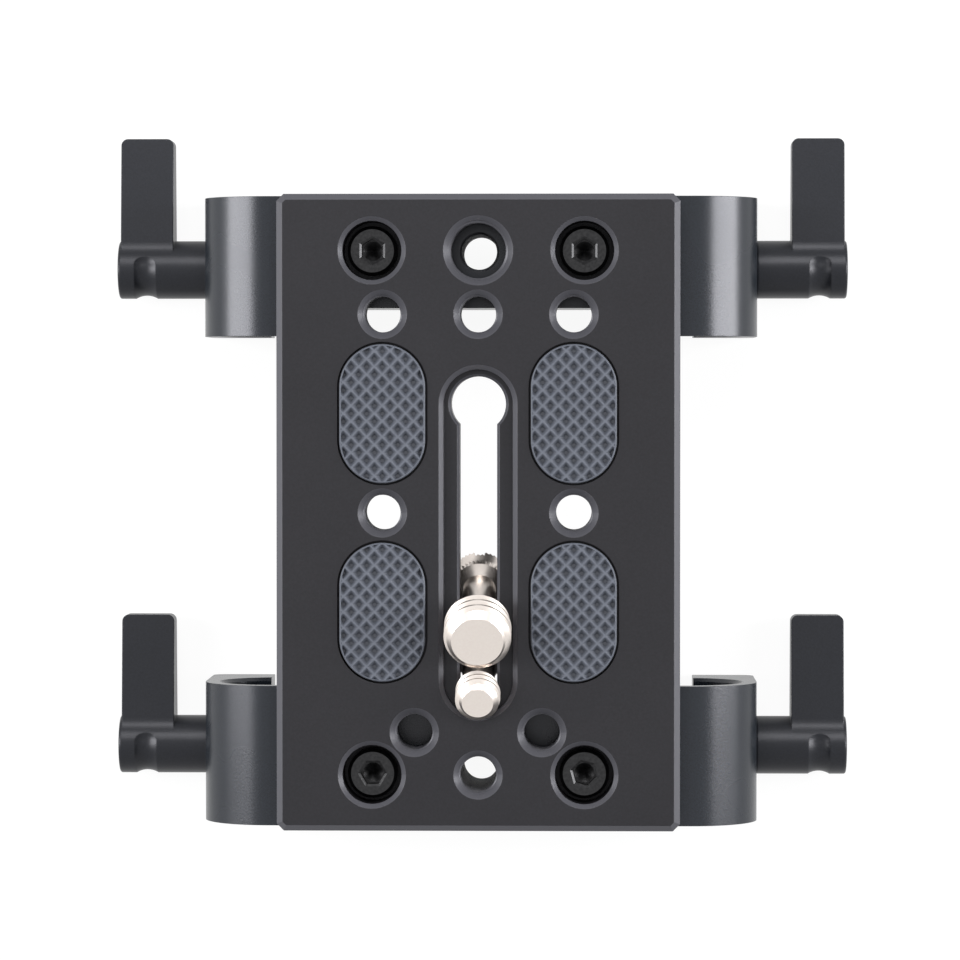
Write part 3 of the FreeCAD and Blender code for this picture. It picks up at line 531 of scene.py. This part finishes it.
def make_pads(material):
    """Mould the four rubber pads, with a net of ribs that runs out to a thin rim."""
    low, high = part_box("pad_front_left")
    radius = (high.x - low.x) / 2
    straight = (high.y - low.y) / 2 - radius
    pad = obround("pad", radius, straight, [(low.z, 0), (high.z - PAD_EDGE_ROUND, 0), (high.z, PAD_EDGE_ROUND)])
    rim = obround("rim", radius, straight, [(high.z - MM, NET_RIM), (high.z + MM, NET_RIM)])
    pits = combine(net_pits(high.z), rim, "INTERSECT")
    combine(pad, pits, "DIFFERENCE")
    for corner in CORNERS:
        near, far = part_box(f"pad_{corner}")
        centre = (near + far) / 2
        copied = copy_at(pad, f"net_pad_{corner}", Matrix.Translation((centre.x, centre.y, 0)))
        finish_piece(copied, "baseplate", material, 30)
        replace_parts(copied, f"pad_{corner}")
    bpy.data.objects.remove(pad)


def hole_ridge(wall, minor, pitch, low, high, sunk):
    """Cut the ridge of a tapped hole on Z. A sunk mouth carries on the slope of the hole's chamfer."""
    reach = wall + HOLE_OVERLAP
    levels = [(low, reach), (high, reach)]
    if sunk:
        levels = [(low, reach), (high + HOLE_OVERLAP, reach), (high - (wall - minor), minor)]
    rod = threaded_rod("tap", minor, TAPPED, pitch, low - pitch, high + pitch)
    return combine(turned("ridge", levels), rod, "DIFFERENCE")


def make_hole_threads(material):
    """Tap each threaded hole of the plate and blocks."""
    shapes = {}
    for name, mount in mounts.items():
        if mount["kind"] != "threaded_hole":
            continue
        wall = mount["dims"]["r_mm"] * MM
        length = mount["dims"]["length_mm"] * MM
        pitch = THREE_EIGHTHS_PITCH if wall > 4 * MM else QUARTER_PITCH
        minor = 3.9 * MM if wall > 4 * MM else 2.52 * MM
        key = (round(wall, 6), round(length, 6))
        if key not in shapes:
            sunk = name != "thread_foot_rear"
            shapes[key] = hole_ridge(wall, minor, pitch, -length / 2, length / 2, sunk)
        ridge = copy_at(shapes[key], f"tapped_{name}", Matrix.Translation(Vector(mount["pos_m"])))
        finish_piece(ridge, "baseplate", material, 30)
    for shape in shapes.values():
        bpy.data.objects.remove(shape)


def make_camera():
    """Set the camera where the photograph was taken from."""
    camera = bpy.data.objects.new("camera", bpy.data.cameras.new("camera"))
    bpy.context.scene.collection.objects.link(camera)
    camera.location = (CAMERA_PLACE[0], PLATE_MIDDLE + CAMERA_PLACE[1], PLATE_TOP + CAMERA_HEIGHT)
    aim = Vector((CAMERA_AIM[0], PLATE_MIDDLE + CAMERA_AIM[1], PLATE_TOP))
    forward = (aim - camera.location).normalized()
    side = forward.cross(Vector((0, 1, 0))).normalized()
    camera.rotation_mode = "QUATERNION"
    camera.rotation_quaternion = Matrix((side, side.cross(forward), -forward)).transposed().to_quaternion()
    camera.data.sensor_width = 36
    camera.data.angle = CAMERA_FIELD
    camera.data.clip_start = 0.01
    bpy.context.scene.camera = camera


def make_lamp(name, place, width, length, radiance):
    """Hang one soft box that faces the part."""
    data = bpy.data.lights.new(name, "AREA")
    data.shape = "RECTANGLE"
    data.size = width
    data.size_y = length
    data.energy = radiance * math.pi * width * length
    lamp = bpy.data.objects.new(name, data)
    bpy.context.scene.collection.objects.link(lamp)
    lamp.location = place
    lamp.rotation_mode = "QUATERNION"
    lamp.rotation_quaternion = (-Vector(place)).to_track_quat("-Z", "Y")
    return lamp


def make_studio():
    """Lay a white floor and light the part from soft boxes at its sides and one behind it."""
    bpy.ops.object.select_all(action="DESELECT")
    bpy.ops.mesh.primitive_plane_add(size=6, location=(0, 0, 0))
    floor = settle("floor")
    dress(floor, studio_white("white_studio_floor", 0.88))
    world = bpy.context.scene.world or bpy.data.worlds.new("studio")
    bpy.context.scene.world = world
    world.use_nodes = True
    tree = world.node_tree
    tree.nodes.clear()
    level = add(tree, "ShaderNodeMapRange", {"To Min": ROOM_LEVEL, "To Max": 1.0},
                {"Value": seen_white(tree)})
    sky = add(tree, "ShaderNodeBackground", {"Color": (1, 1, 1, 1)}, {"Strength": level.outputs["Result"]})
    add(tree, "ShaderNodeOutputWorld", links={"Surface": sky.outputs["Background"]})
    for name, (sign, tilt, radiance, length) in SIDE_BOXES.items():
        place = (sign * math.sin(math.radians(tilt)), SIDE_BOX_REAR, math.cos(math.radians(tilt)))
        make_lamp(name, place, SIDE_BOX_WIDTH, length, radiance)
    make_lamp("rear_box", REAR_BOX_PLACE, *REAR_BOX_SIZE, REAR_BOX_RADIANCE)
    bpy.context.scene.view_settings.view_transform = "Standard"


def make_finishes():
    """Mix every finish that the part has."""
    return {
        "plate": anodised("bead_blasted_black_anodised_aluminium", "#0A090B", "#141316", 0.35 * MM, 0.42,
                          0.15 * MM, 1.42, (0.38, "#434348")),
        "block": anodised("satin_black_anodised_aluminium", "#12161B", "#1B2026", 0.3 * MM, 0.27, 0.15 * MM),
        "lever": anodised("blasted_black_anodised_lever", "#0C0E12", "#16181D", 0.3 * MM, 0.36, 0.25 * MM, 1.4),
        "rubber": moulded_rubber(),
        "black": metal("black_oxide_steel", "#303031", "#3C3C3D", 0.3, 2500),
        "bright": metal("bright_turned_stainless_steel", "#DDD4CD", "#E0D8D1", 0.3, 3000, 0.01),
        "zinc": metal("zinc_plated_steel", "#8F908F", "#B3B4B2", 0.35, 2500),
        "spring": metal("drawn_spring_steel_wire", "#7C7C79", "#9C9C98", 0.3, 2500),
    }


def dress_nodes(finishes):
    """Give every node of the frame that stays in view its finish."""
    dress(nodes["top_plate"], finishes["plate"])
    dress(nodes["front_rod_block"], finishes["block"])
    dress(nodes["rear_rod_block"], finishes["block"])
    for corner in CORNERS:
        dress(nodes[f"clamp_screw_{corner}"], finishes["zinc"])
        dress(nodes[f"lever_{corner}"], finishes["lever"])
        dress(nodes[f"lever_end_screw_{corner}"], finishes["black"])


make_camera()
finishes = make_finishes()
dress_nodes(finishes)
for kind in SCREW_FORMS:
    make_camera_screw(kind, finishes["bright"])
make_cap_screws(finishes["black"])
make_springs(finishes["spring"])
make_pads(finishes["rubber"])
make_hole_threads(finishes["plate"])
make_studio()
